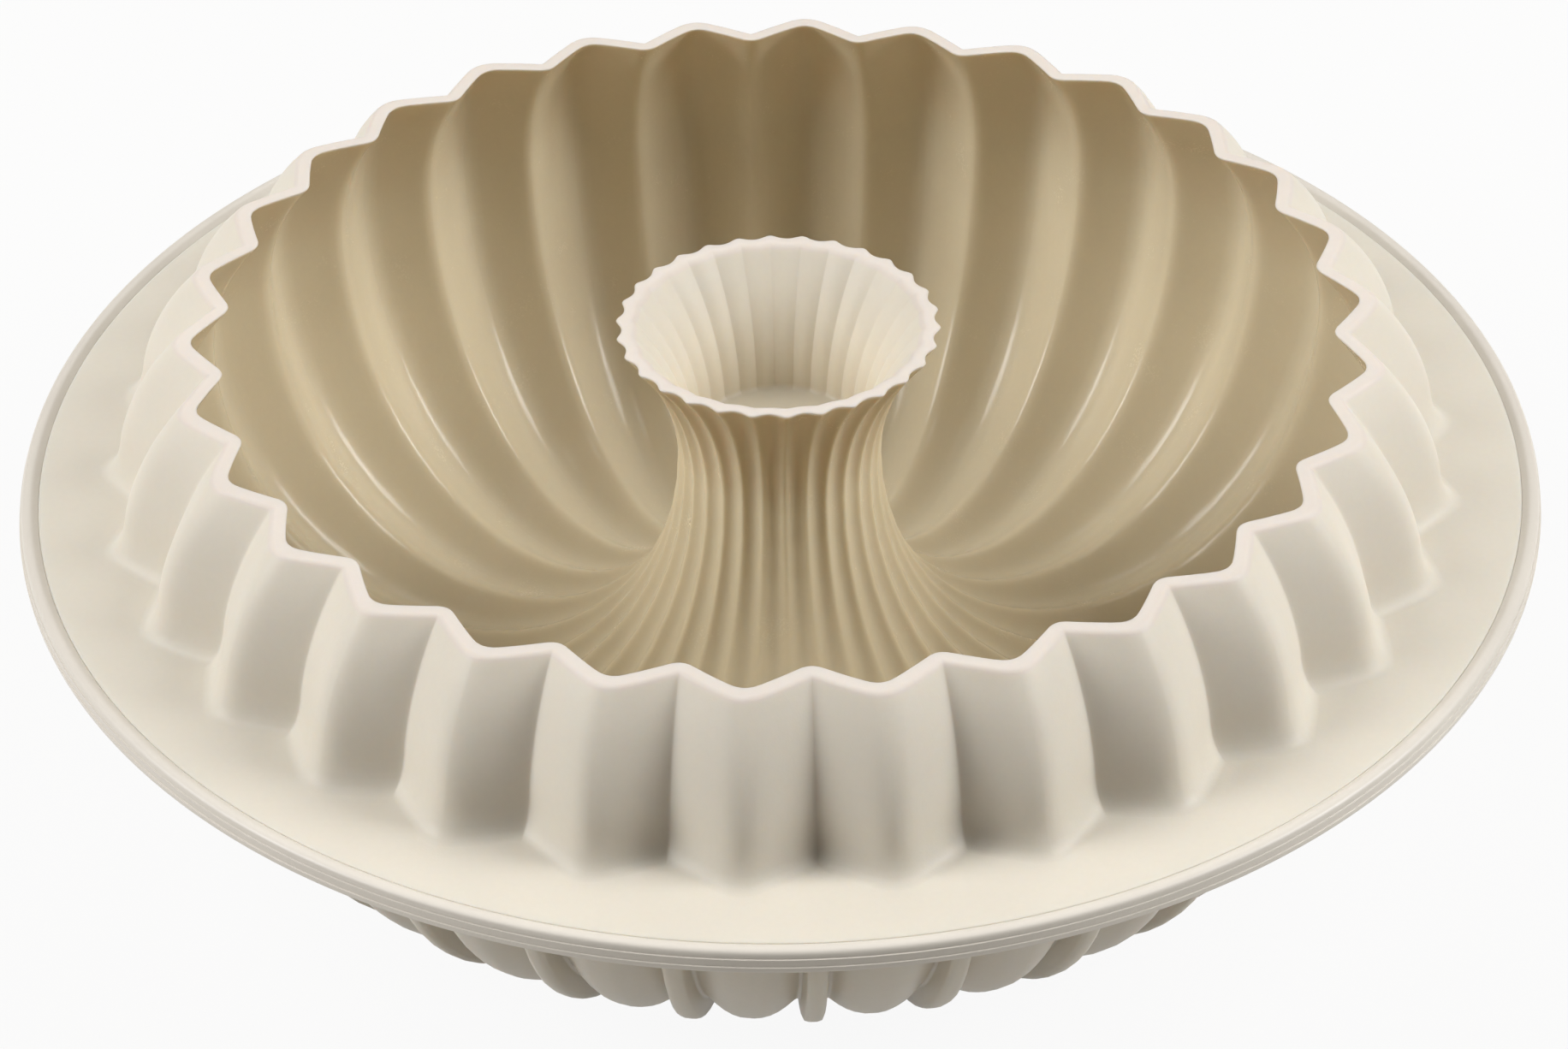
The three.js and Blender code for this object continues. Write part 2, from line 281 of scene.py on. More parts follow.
class StudioSettings(bpy.types.PropertyGroup):
    """Camera, lights and floor."""

    azimuth: turn("Azimuth", "Camera round the axis", -2.724)
    elevation: turn("Elevation", "Camera above the horizon", 36.77)
    roll: turn("Roll", "Turn of the camera about its line of sight", -0.61)
    distance: length("Distance", "Camera to the point it looks at", 0.7043)
    aim_side: length("Aim aside", "Point looked at, right of the axis", 0.0006)
    aim_drop: length("Aim drop", "Point looked at, below the flange level", 0.01585)
    focal_pixels: FloatProperty(
        name="Focal length", description="In pixels of the photograph", default=4915.9, subtype="PIXEL"
    )
    sky: strength("Sky", "Strength of the even light from all round", 0.02)
    low_sides: power("Low sides", "Power of the low lamp on the left", 7.1)
    high_sides: power("High sides", "Power of the high lamp on the left", 5.1)
    behind: power("Behind", "Power of the lamp behind", 3.1)
    right_gain: strength("Right gain", "Power of the right lamps over that of the left ones", 1.06)
    floor: colour("Floor", "Colour of the floor", (0.55, 0.53, 0.5))
    floor_white: share("Floor white", "Share of plain white in the floor that the camera sees", 0.93)


class CakeMould(bpy.types.PropertyGroup):
    """All settings of the mould."""

    trough: PointerProperty(type=TroughSizes)
    flutes: PointerProperty(type=FluteSizes)
    flange: PointerProperty(type=FlangeSizes)
    fins: PointerProperty(type=FinSizes)
    finish: PointerProperty(type=SiliconeFinish)
    studio: PointerProperty(type=StudioSettings)


# Surfaces


def mix(start, end, amount):
    """start at amount 0, end at amount 1, straight between them."""
    return start + (end - start) * amount


def unit(vectors):
    """Vectors made one unit long, along the last axis."""
    return vectors / np.maximum(np.linalg.norm(vectors, axis=-1, keepdims=True), SMALLEST_LENGTH)


def column(angles):
    """Angles as a column, so that each gives one row."""
    return np.asarray(angles, dtype=float)[:, None]


def flute_wave(place, tip, heel):
    """Height of a wave across half a flute: 1 at place 0 and -1 at place 0.5, with a straight flank.

    The tip and the heel are parabolas over those shares of the pitch. With the slope
    s = 4 / (1 - tip - heel) the three stretches join smoothly: 1 - s p^2 / (2 tip) on the tip,
    1 - s (p - tip / 2) on the flank and -1 + s (0.5 - p)^2 / (2 heel) in the heel.
    """
    slope = 4.0 / (1.0 - tip - heel)
    left = 0.5 - place
    on_tip = 1.0 - slope * place**2 / (2.0 * tip)
    on_flank = 1.0 - slope * (place - tip / 2.0)
    in_heel = -1.0 + slope * left**2 / (2.0 * heel)
    return np.where(place < tip, on_tip, np.where(left < heel, in_heel, on_flank))


def round_corner(before, corner, after, reach, steps, after_reach=None):
    """Rows of points that round off a corner between two neighbours, in the plane of radius and height.

    A quadratic Bezier curve (1-t)^2 A + 2 t (1-t) C + t^2 B, where C is the corner and A and B lie at the
    reach from it, towards the points before and after it. The reach is one length or one for each point.
    """
    before_reach = np.reshape(reach, (-1, 1))
    after_reach = before_reach if after_reach is None else np.reshape(after_reach, (-1, 1))
    start = corner + before_reach * unit(before - corner)
    end = corner + after_reach * unit(after - corner)
    t = np.linspace(0.0, 1.0, steps + 1)[:, None, None]
    return (1 - t) ** 2 * start + 2 * t * (1 - t) * corner + t**2 * end


class MouldSection:
    """Section of the mould through one half flute, as arrays of (radius, height).

    An angle runs round the trough's section: 0 at the outer wall on the flange level, positive up to the
    rim, a quarter turn below 0 at the floor and half a turn below 0 at the throat of the tube.
    """

    def __init__(self, mould):
        self.trough = mould.trough
        self.flutes = mould.flutes
        self.flange = mould.flange
        self.fins = mould.fins
        self.pitch = 2.0 * math.pi / self.flutes.count
        self.rim_angle = self.edge_angle(self.trough.rim_draw_in)
        self.lip_angle = self.edge_angle(self.trough.lip_flare)
        self.rim_crown = self.trough.rim_rise / math.sin(self.rim_angle)
        self.lip_crown = self.trough.lip_rise / math.sin(self.lip_angle)
        # Places lie closest together on the crest and in the crease
        self.places = 0.25 * (1.0 - np.cos(math.pi * np.arange(HALF_STEPS + 1) / HALF_STEPS))
        self.crest_wave = flute_wave(self.places, self.flutes.crest_round, self.flutes.crease_round)
        self.lobe_wave = flute_wave(self.places, self.flutes.lobe_round, self.flutes.crease_round)
        self.cup_wave = self.flutes.bore_share * self.lobe_wave

    def edge_angle(self, lean):
        """Angle at which a wall that follows the ellipse has leant by that much."""
        return math.acos(1.0 - lean / self.trough.half_width)

    def tube_angle(self, height):
        """Angle on the tube at a height above the flange level."""
        return math.pi - math.asin(height / self.lip_crown)

    def base(self, angle):
        """The trough's middle line, as radius, height, outward direction, wall and half depth of the flutes.

        Below the flange level it is an ellipse of the half width and the depth. Above, the rim and the lip
        each have an ellipse of the same half width and their own height, and outward stays level there.
        """
        trough, flutes = self.trough, self.flutes
        sine, cosine = np.sin(angle), np.cos(angle)
        radius = trough.radius + trough.half_width * cosine
        outward = (cosine + 1.0) / 2.0
        above = sine > 0
        outer = cosine > 0
        crown = np.where(outer, self.rim_crown, self.lip_crown)
        height = trough.flange_level + np.where(above, crown, trough.depth) * sine
        risen = sine / np.where(outer, math.sin(self.rim_angle), math.sin(self.lip_angle))
        rim_side = mix(trough.outer_wall, trough.rim_wall, risen)
        lip_side = mix(trough.tube_wall, trough.lip_wall, risen)
        below = mix(trough.tube_wall, trough.outer_wall, outward)
        wall = np.where(above, np.where(outer, rim_side, lip_side), below)
        out_x = np.where(above, np.sign(cosine), cosine)
        out_z = np.where(above, 0.0, sine)
        depth = mix(flutes.tube_depth, flutes.outer_depth, outward)
        depth = np.where(above & ~outer, mix(flutes.tube_depth, flutes.lip_depth, risen), depth)
        return radius, height, out_x, out_z, wall, depth

    def off_base(self, angle, distance):
        """Points at a distance out of the trough's middle line."""
        radius, height, out_x, out_z, *_ = self.base(angle)
        return np.stack([radius + out_x * distance, height + out_z * distance], axis=-1)

    def outer(self, angle, wave):
        """Outside skin: the wall and the flute wave, measured outwards."""
        *_, wall, depth = self.base(angle)
        return self.off_base(angle, wall + depth * wave)

    def inner(self, angle):
        """Batter side: the flute wave alone.

        On the tube the waves are shallow, with narrow ridges and broad grooves. Towards the outer wall and
        the lip they gain their full depth, and towards the rim the grooves narrow.
        """
        flutes = self.flutes
        sine, cosine = np.sin(angle), np.cos(angle)
        outward = (cosine + 1.0) / 2.0
        up_rim = np.where(cosine > 0, np.clip(sine / math.sin(self.rim_angle), 0.0, 1.0), 0.0)
        up_lip = np.where(cosine < 0, np.clip(sine / math.sin(self.lip_angle), 0.0, 1.0), 0.0)
        ridge = mix(flutes.tube_ridge, flutes.ridge_round, outward)
        groove = mix(mix(flutes.tube_groove, flutes.groove_round, outward), flutes.rim_groove, up_rim)
        *_, full_depth = self.base(angle)
        depth = full_depth * mix(flutes.tube_share, 1.0, np.maximum(outward, up_lip))
        return self.off_base(angle, -depth * flute_wave(0.5 - self.places, ridge, groove))

    def level_ring(self, radius, height):
        """One row at the same radius and height all round."""
        return np.broadcast_to(np.array([radius, height]), (1, len(self.places), 2))


def finned_rows(section, turns):
    """Outside skin under the trough with the fins in its creases, as places and points.

    Across half a flute the outline runs over the rounded crest, down the flank, round a fillet at the fin's
    root, out along the fin's side and round its free edge to the fin's middle plane, from which distances
    across are measured. Where the flutes get narrow, crest and roundings shrink to the room they have.
    Towards its end the fin's height falls as a quarter ellipse. What would reach below the resting plane
    is levelled there, which gives each fin its flat foot.
    """
    fins, flutes = section.fins, section.flutes
    angle = -column(turns)
    radius, _, _, _, wall, depth = section.base(angle)
    fade = np.clip((fins.end - column(turns)) / fins.fade, 0.0, 1.0)
    stand = np.sqrt(1.0 - (1.0 - fade) ** 2)
    half_pitch = section.pitch * radius / 2.0

    def wave_at(across):
        """Height of the flutes at a distance from the fin's middle plane."""
        place = np.clip(0.5 - across / (2.0 * half_pitch), 0.0, 0.5)
        return depth * flute_wave(place, flutes.lobe_round, flutes.crease_round)

    room = half_pitch - fins.root / 2.0
    crest_width = np.minimum(2.0 * flutes.lobe_round * half_pitch, CREST_SHARE * room)
    crest_across = half_pitch - np.linspace(0.0, 1.0, CREST_POINTS) * crest_width
    root_across = np.full_like(half_pitch, fins.root / 2.0)
    root = np.stack([root_across, wave_at(root_across)], axis=-1)
    proud = mix(-fins.shy, fins.proud, np.sin(column(turns)))
    tip_height = mix(wave_at(np.zeros_like(half_pitch)), depth + proud, stand)
    tip = np.stack([np.full_like(half_pitch, fins.edge / 2.0), tip_height], axis=-1)
    middle = np.stack([np.zeros_like(half_pitch), tip_height], axis=-1)
    crest = np.stack([crest_across, wave_at(crest_across)], axis=-1)
    flank = mix(crest[:, -1:], root, FLANK_SHARE)
    flank_span = REACH_SHARE * np.linalg.norm(flank - root, axis=-1)[:, 0]
    side_span = REACH_SHARE * np.linalg.norm(tip - root, axis=-1)[:, 0] / 2.0
    root_reach = np.minimum(np.minimum(flank_span, side_span), fins.root_round)
    edge_reach = np.minimum(side_span, fins.edge_round)
    fillet = round_corner(flank[:, 0], root[:, 0], tip[:, 0], root_reach, FIN_ROUND_STEPS)
    nose = round_corner(root[:, 0], tip[:, 0], middle[:, 0], edge_reach, FIN_ROUND_STEPS)
    outline = np.concatenate(
        [crest, flank, np.moveaxis(fillet, 0, 1), np.moveaxis(nose, 0, 1), middle], axis=1
    )
    points = section.off_base(angle, wall + outline[..., 1])
    points[..., 1] = np.maximum(points[..., 1], 0.0)
    places = 0.5 - outline[..., 0] / (section.pitch * points[..., 0])
    return places, points


def stretch(section, points, batter=0.0, edge=0.0, places=None):
    """One stretch of the skin: places, points and, for each row, the masks of the batter side, which carries
    its polish and painted shade, and of the edges, which carry painted light.
    """
    across = np.broadcast_to(section.places if places is None else places, points.shape[:2])
    masks = [np.broadcast_to(mask, len(points)) for mask in (batter, edge)]
    return across, points, *masks


def towards_axis(edge, shares):
    """Level rows at shares of the way from the axis to an edge, at the edge's own height."""
    radius = np.asarray(shares)[:, None] * edge[None, :, 0]
    return np.stack([radius, np.broadcast_to(edge[:, 1], radius.shape)], axis=-1)


def tube_stretches(section):
    """The web's top from its middle outwards, the bore above it, the lip and the tube's batter side."""
    trough = section.trough
    lip_angle, web_angle = math.pi - section.lip_angle, section.tube_angle(trough.web_top)
    lip_out = section.outer(column([lip_angle]), section.cup_wave)[0]
    lip_in = section.inner(column([lip_angle]))[0]
    web_edge = section.outer(column([web_angle]), section.cup_wave)[0]
    rise = mix(web_angle, lip_angle, np.linspace(0.0, LIP_START, TUBE_STEPS + 1)[1:])
    fall = mix(math.pi, lip_angle, np.linspace(LIP_START, 0.0, TUBE_STEPS + 1)[:-1])
    web = towards_axis(web_edge, WEB_SHARES)
    cup = section.outer(column(rise), section.cup_wave)
    tube = section.inner(column(fall))
    web_fillet = round_corner(web[-1], web_edge, cup[0], trough.web_round, EDGE_STEPS)
    lip_outside = round_corner(cup[-1], lip_out, lip_in, trough.lip_round, EDGE_STEPS)
    lip_inside = round_corner(lip_out, lip_in, tube[0], trough.lip_round, EDGE_STEPS)
    return [
        # The cup of the tube shades over to the batter side's polish and painted shade
        stretch(section, web, batter=CUP_PAINTED_SHADE),
        stretch(section, web_fillet, batter=CUP_PAINTED_SHADE),
        stretch(section, cup, batter=np.linspace(CUP_PAINTED_SHADE, 0.0, len(cup))),
        # The lip carries the edges' painted light
        stretch(section, lip_outside, edge=1.0),
        stretch(section, lip_inside, batter=np.linspace(0.0, 1.0, len(lip_inside)), edge=1.0),
        stretch(section, tube, batter=1.0),
    ]


def trough_stretches(section):
    """The trough's floor, the inside of the outer wall, the rim and the outer wall down to the flange."""
    trough, flange = section.trough, section.flange
    rim = column([section.rim_angle])
    foot = column([math.asin(flange.top / section.rim_crown)])
    near_rim = section.rim_angle * RIM_START
    toe_top = math.asin((flange.top + flange.toe_rise) / section.rim_crown)
    rim_out, rim_in = section.outer(rim, section.crest_wave)[0], section.inner(rim)[0]
    floor = section.inner(-column(np.linspace(math.pi, 0.0, FLOOR_STEPS + 1)))
    inside = section.inner(column(np.linspace(0.0, near_rim, INSIDE_STEPS + 1)[1:]))
    wall = section.outer(column(np.linspace(near_rim, toe_top, WALL_STEPS + 1)), section.crest_wave)
    corner = section.outer(foot, section.crest_wave)[0]
    rim_inside = round_corner(inside[-1], rim_in, rim_out, trough.rim_round, EDGE_STEPS)
    rim_outside = round_corner(rim_in, rim_out, wall[0], trough.rim_round, EDGE_STEPS)
    fillet = round_corner(
        wall[-1], corner, corner + OUTWARD, flange.toe_rise, TOE_STEPS, after_reach=flange.toe_reach
    )
    return [
        stretch(section, floor, batter=1.0),
        stretch(section, inside, batter=1.0),
        # The rim carries the edges' painted light
        stretch(section, rim_inside, batter=np.linspace(1.0, 0.0, len(rim_inside)), edge=1.0),
        stretch(section, rim_outside, edge=1.0),
        stretch(section, wall),
        stretch(section, fillet[1:]),
    ]


def flange_stretches(section, wall_foot):
    """The flange outwards from the wall's foot, its dipped edge, the tongue and the underside's edge."""
    trough, flange = section.trough, section.flange
    top, bottom = trough.flange_level + flange.top, trough.flange_level - flange.underside
    shoulder = RING_RADIUS - flange.ring_width - flange.shoulder_gap
    tongue_end = RING_RADIUS - flange.ring_width - flange.clearance + flange.tongue
    tongue_top = (top + bottom + flange.tongue_thickness) / 2.0
    tongue_bottom = (top + bottom - flange.tongue_thickness) / 2.0
    edge, low_edge = section.level_ring(shoulder, top)[0], section.level_ring(shoulder, bottom)[0]
    tongue = np.concatenate([
        section.level_ring(shoulder, tongue_top),
        section.level_ring(tongue_end, tongue_top),
        section.level_ring(tongue_end, tongue_bottom),
        section.level_ring(shoulder, tongue_bottom),
    ])
    dipped = round_corner(
        wall_foot, edge, tongue[0], flange.shoulder_round, EDGE_STEPS, after_reach=flange.shoulder_drop
    )
    flat = mix(wall_foot, dipped[0], np.reshape(FLANGE_SHARES, (-1, 1, 1)))
    underside = round_corner(tongue[-1], low_edge, low_edge - OUTWARD, flange.shoulder_drop, UNDER_STEPS)
    return [stretch(section, rows) for rows in (flat, dipped, tongue, underside)]


def underside_stretches(section):
    """The fins and lobes under the trough, the funnel, the bore below the web and the web's underside."""
    trough, fins = section.trough, section.fins
    flange_turn = math.asin(section.flange.underside / trough.depth)
    places, rows = finned_rows(section, np.linspace(flange_turn, fins.end, FIN_STEPS + 1))
    root = round_corner(rows[0] + OUTWARD, rows[0], rows[1], fins.root_round, UNDER_STEPS)
    funnel_turns = np.linspace(fins.end, math.pi, FUNNEL_STEPS + 1)[1:-1]
    funnel = section.outer(-column(funnel_turns), section.lobe_wave)
    web_angle = section.tube_angle(trough.web_top - trough.web_thickness)
    web_edge = section.outer(column([web_angle]), section.lobe_wave)[0]
    web = towards_axis(web_edge, (WEB_SHARES[-1], WEB_SHARES[0]))
    fillet = round_corner(funnel[-1], web_edge, web[0], trough.web_round, UNDER_STEPS)
    return [
        stretch(section, root[:-1], places=places[0]),
        stretch(section, rows[1:], places=places[1:]),
        stretch(section, funnel),
        stretch(section, fillet),
        stretch(section, web),
    ]


def mould_rows(section):
    """Rows over the whole skin of the moulding, as places, points and the masks of batter side and edges,
    which carry painted shade and painted light.

    They run from the middle of the web's top up the bore, over the lip, through the trough, over the rim,
    down the outside, along the flange, under the trough over the fins and up to the middle of the web again.
    """
    stretches = tube_stretches(section) + trough_stretches(section)
    wall_foot = stretches[-1][1][-1]
    stretches += flange_stretches(section, wall_foot) + underside_stretches(section)
    return [np.concatenate(parts) for parts in zip(*stretches)]


def round_the_axis(places, points, flutes):
    """Rows of one half flute mirrored in its crease and repeated round the axis, as (row, column, xyz).

    A point at place p, radius r and height z of flute number n goes to (r cos a, r sin a, z), where
    a = (n + p) times the pitch.
    """
    pitch = 2.0 * math.pi / flutes
    whole = np.concatenate([places, 1.0 - places[:, -2:0:-1]], axis=1)
    mirrored = np.concatenate([points, points[:, -2:0:-1]], axis=1)
    angle = (np.arange(flutes)[None, :, None] + whole[:, None, :]) * pitch
    radius = np.broadcast_to(mirrored[:, None, :, 0], angle.shape)
    height = np.broadcast_to(mirrored[:, None, :, 1], angle.shape)
    grid = np.stack([radius * np.cos(angle), radius * np.sin(angle), height], axis=-1)
    return grid.reshape(len(places), -1, 3)


def ring_outline(section):
    """Closed outline of the stiffening ring as (radius, height), with its slot and its two parting lines.

    The corners are listed with the reach of their rounding, and each is rounded by a Bezier curve.
    """
    flange, level = section.flange, section.trough.flange_level
    outer, inner = RING_RADIUS, RING_RADIUS - flange.ring_width
    top, bottom = RING_HIGH.z, RING_LOW.z
    middle = level + (flange.top - flange.underside) / 2.0
    slot_half = flange.tongue_thickness / 2.0 + flange.clearance
    slot_end = inner + flange.tongue
    bead_foot = level + flange.top - flange.shoulder_drop
    step, small = flange.ring_step, flange.ring_edge
    first_line, second_line = level - flange.first_line, level - flange.second_line
    corners = np.array([
        (slot_end, middle - slot_half, small),
        (slot_end, middle + slot_half, small),
        (inner, middle + slot_half, small),
        (inner, bead_foot, small),
        (inner + flange.bead_slope, top, flange.ring_inner_round),
        (outer - 2.0 * step, top, flange.ring_round),
        (outer - 2.0 * step, first_line, small),
        (outer - step, first_line, small),
        (outer - step, second_line, small),
        (outer, second_line, small),
        (outer, bottom, small * FOOT_ROUND_OUTSIDE),
        (inner, bottom, small * FOOT_ROUND_INSIDE),
        (inner, middle - slot_half, small),
    ])
    spots, reaches = corners[:, :2], corners[:, 2]
    before, after = np.roll(spots, 1, axis=0), np.roll(spots, -1, axis=0)
    rounded = round_corner(before, spots, after, reaches, RING_CORNER_STEPS)
    return np.moveaxis(rounded, 0, 1).reshape(-1, 2)


def carry_round(outline, steps):
    """An outline of radius and height carried round the axis in equal steps, as (row, column, xyz)."""
    angle = np.linspace(0.0, 2.0 * math.pi, steps, endpoint=False)[None, :]
    radius, height = outline[:, :1], outline[:, 1:]
    flat = np.broadcast_to(height, (len(outline), steps))
    return np.stack([radius * np.cos(angle), radius * np.sin(angle), flat], axis=-1)


def skin_piece(name, grid, poles, **masks):
    """A mesh object over a grid whose columns close on themselves.

    With poles the first and the last row are one point each, and otherwise the rows close on themselves too.
    Each face joins a point to the next row and the next column. A point's normal is the sum of the area
    vectors of its faces, so that broad faces stay flat beside narrow roundings.
    """
    rows, columns, _ = grid.shape
    number = np.arange(rows * columns)
    if poles:
        number = np.clip(number - columns + 1, 0, (rows - 2) * columns + 1)
    number = number.reshape(rows, columns)
    upper = number[:-1] if poles else number
    lower = number[1:] if poles else np.roll(number, -1, axis=0)
    corners = np.stack([upper, lower, np.roll(lower, -1, axis=1), np.roll(upper, -1, axis=1)], axis=-1)
    corners = corners.reshape(-1, 4)
    points = np.zeros((number.max() + 1, 3))
    points[number] = grid
    first, second, third, fourth = np.moveaxis(points[corners], 1, 0)
    area = np.cross(third - first, fourth - second) / 2.0
    normals = np.zeros_like(points)
    np.add.at(normals, corners, area[:, None])
    apart = corners != np.roll(corners, 1, axis=1)
    sizes = apart.sum(axis=1)
    mesh = bpy.data.meshes.new(name)
    mesh.vertices.add(len(points))
    mesh.vertices.foreach_set("co", points.astype(np.float32).ravel())
    mesh.loops.add(int(sizes.sum()))
    mesh.loops.foreach_set("vertex_index", corners[apart].astype(np.int32))
    mesh.polygons.add(len(corners))
    mesh.polygons.foreach_set("loop_start", (np.cumsum(sizes) - sizes).astype(np.int32))
    mesh.update(calc_edges=True)
    if mesh.validate():
        raise RuntimeError(f"{name} has faulty faces")
    mesh.shade_smooth()
    mesh.normals_split_custom_set_from_vertices(unit(normals))
    for mask, values in masks.items():
        spread = np.zeros(len(points), dtype=np.float32)
        spread[number] = values[:, None]
        mesh.attributes.new(mask, "FLOAT", "POINT").data.foreach_set("value", spread)
    piece = bpy.data.objects.new(name, mesh)
    bpy.context.scene.collection.objects.link(piece)
    return piece


# Materials


def feed(tree, socket, value):
    """A socket linked to another one, or set to a plain value or colour."""
    if isinstance(value, bpy.types.NodeSocket):
        tree.links.new(value, socket)
    elif socket.type == "RGBA":
        socket.default_value = (*value, 1.0)
    else:
        socket.default_value = value


def noise(tree, vector, scale, detail):
    """A noise texture over the given coordinates, in lumps per metre."""
    node = tree.nodes.new("ShaderNodeTexNoise")
    feed(tree, node.inputs["Vector"], vector)
    feed(tree, node.inputs["Scale"], scale)
    feed(tree, node.inputs["Detail"], detail)
    return node.outputs["Fac"]


def map_range(tree, value, low, high, to_low, to_high):
    """A value mapped from one range to another, clamped."""
    node = tree.nodes.new("ShaderNodeMapRange")
    feed(tree, node.inputs["Value"], value)
    for socket, number in zip(("From Min", "From Max", "To Min", "To Max"), (low, high, to_low, to_high)):
        feed(tree, node.inputs[socket], number)
    return node.outputs["Result"]


def calculated(tree, operation, *values):
    """The result of a Math node over sockets or plain numbers."""
    node = tree.nodes.new("ShaderNodeMath")
    node.operation = operation
    for socket, value in zip(node.inputs, values):
        feed(tree, socket, value)
    return node.outputs[0]


def mixed_colour(tree, amount, first, second):
    """One colour at amount 0 and another at amount 1."""
    node = tree.nodes.new("ShaderNodeMix")
    node.data_type = "RGBA"
    feed(tree, node.inputs["Factor"], amount)
    feed(tree, node.inputs[MIX_FIRST], first)
    feed(tree, node.inputs[MIX_SECOND], second)
    return node.outputs[MIX_RESULT]


def mask_value(tree, name):
    """A mask that is kept on the mesh's points."""
    node = tree.nodes.new("ShaderNodeAttribute")
    node.attribute_name = name
    return node.outputs["Fac"]


def new_group(name, inputs, outputs):
    """An empty shader node group with the given sockets."""
    group = bpy.data.node_groups.new(name, "ShaderNodeTree")
    for socket, kind, default in inputs:
        made = group.interface.new_socket(socket, in_out="INPUT", socket_type=kind)
        made.default_value = default
    for socket, kind in outputs:
        group.interface.new_socket(socket, in_out="OUTPUT", socket_type=kind)
    return group, group.nodes.new("NodeGroupInput"), group.nodes.new("NodeGroupOutput")


def cast_tone_group():
    """Cast Tone: a colour clouded by large soft lumps and fine flecks, as in a thick casting."""
    group, given, made = new_group(
        "Cast Tone",
        [("Colour", "NodeSocketColor", (1, 1, 1, 1)), ("Clouding", "NodeSocketFloat", 0.05)],
        [("Colour", "NodeSocketColor")],
    )
    place = group.nodes.new("ShaderNodeTexCoord").outputs["Object"]
    cloud = map_range(group, noise(group, place, *CLOUDS), NOISE_LOW, NOISE_HIGH, -1.0, 1.0)
    flecks = noise(group, place, *FLECKS)
    fleck = map_range(group, flecks, NOISE_LOW, NOISE_HIGH, -FLECK_SHARE, FLECK_SHARE)
    lumps = calculated(group, "ADD", cloud, fleck)
    amount = calculated(group, "MULTIPLY_ADD", lumps, given.outputs["Clouding"], 1.0)
    tinted = group.nodes.new("ShaderNodeVectorMath")
    tinted.operation = "SCALE"
    feed(group, tinted.inputs[0], given.outputs["Colour"])
    feed(group, tinted.inputs["Scale"], amount)
    feed(group, made.inputs["Colour"], tinted.outputs[0])
    return group


def satin_grain_group():
    """Satin Grain: roughness that varies with a fine grain and soft smears, and the height of the grain."""
    group, given, made = new_group(
        "Satin Grain",
        [("Roughness", "NodeSocketFloat", 0.5), ("Spread", "NodeSocketFloat", 0.08)],
        [("Roughness", "NodeSocketFloat"), ("Height", "NodeSocketFloat")],
    )
    place = group.nodes.new("ShaderNodeTexCoord").outputs["Object"]
    grain = noise(group, place, *GRAIN)
    both = calculated(group, "ADD", grain, noise(group, place, *SMEARS))
    centred = map_range(group, both, 2.0 * NOISE_LOW, 2.0 * NOISE_HIGH, -1.0, 1.0)
    rough = calculated(group, "MULTIPLY_ADD", centred, given.outputs["Spread"], given.outputs["Roughness"])
    feed(group, made.inputs["Roughness"], rough)
    feed(group, made.inputs["Height"], grain)
    return group


def shared_group(name, make):
    """The node group of that name, made when it is first asked for."""
    return bpy.data.node_groups.get(name) or make()


def placed_group(tree, group, **values):
    """A node group placed in a material, with its own values or links."""
    node = tree.nodes.new("ShaderNodeGroup")
    node.node_tree = group
    for socket, value in values.items():
        feed(tree, node.inputs[socket], value)
    return node


def new_material(name):
    """A material with a bare Principled shader."""
    material = bpy.data.materials.new(name)
    material.use_nodes = True
    return material, material.node_tree, material.node_tree.nodes["Principled BSDF"]


def cast_finish(tree, shader, colour_in, rough, clouding, spread, grain_depth):
    """Clouded colour, uneven roughness and fine grain on a shader, the grain's depth in metres."""
    tone = shared_group("Cast Tone", cast_tone_group)
    grain = shared_group("Satin Grain", satin_grain_group)
    clouded = placed_group(tree, tone, Colour=colour_in, Clouding=clouding)
    satin = placed_group(tree, grain, Roughness=rough, Spread=spread)
    bump = tree.nodes.new("ShaderNodeBump")
    bump.inputs["Strength"].default_value = 1.0
    bump.inputs["Distance"].default_value = grain_depth
    feed(tree, bump.inputs["Height"], satin.outputs["Height"])
    feed(tree, shader.inputs["Base Color"], clouded.outputs["Colour"])
    feed(tree, shader.inputs["Roughness"], satin.outputs["Roughness"])
    feed(tree, shader.inputs["Normal"], bump.outputs["Normal"])


def silicone_material(finish):
    """Cream silicone: satin outside, polished on the batter side, clouded like a thick casting. The batter
    side is painted darker and warmer as shade, and the rim and lip paler as light.
    """
    material, tree, shader = new_material("cream_silicone")
    # Painted shade: the batter side mask darkens and warms the cream and makes it glossier
    batter = mask_value(tree, "batter_side")
    sides = mixed_colour(tree, batter, finish.cream, finish.batter_painted_shade)
    # Painted light: the rim and the lip are painted pale, as where light falls on them
    base = mixed_colour(tree, mask_value(tree, "thin_edge"), sides, finish.edge_painted_light)
    rough = map_range(tree, batter, 0.0, 1.0, finish.outside_rough, finish.batter_rough)
    cast_finish(tree, shader, base, rough, clouding=0.02, spread=0.05, grain_depth=0.00001)
    shader.inputs["IOR"].default_value = SILICONE_IOR
    shader.inputs["Subsurface Weight"].default_value = GLOW_WEIGHT
    shader.inputs["Subsurface Radius"].default_value = GLOW_RADII
    shader.inputs["Subsurface Scale"].default_value = GLOW_DEPTH
    return material


def ring_material(finish):
    """Cream nylon: a little whiter and smoother than the silicone beside it."""
    material, tree, shader = new_material("cream_nylon")
    cast_finish(
        tree, shader, finish.ring_cream, finish.ring_rough, clouding=0.015, spread=0.06, grain_depth=0.000015
    )
    shader.inputs["IOR"].default_value = NYLON_IOR
    return material


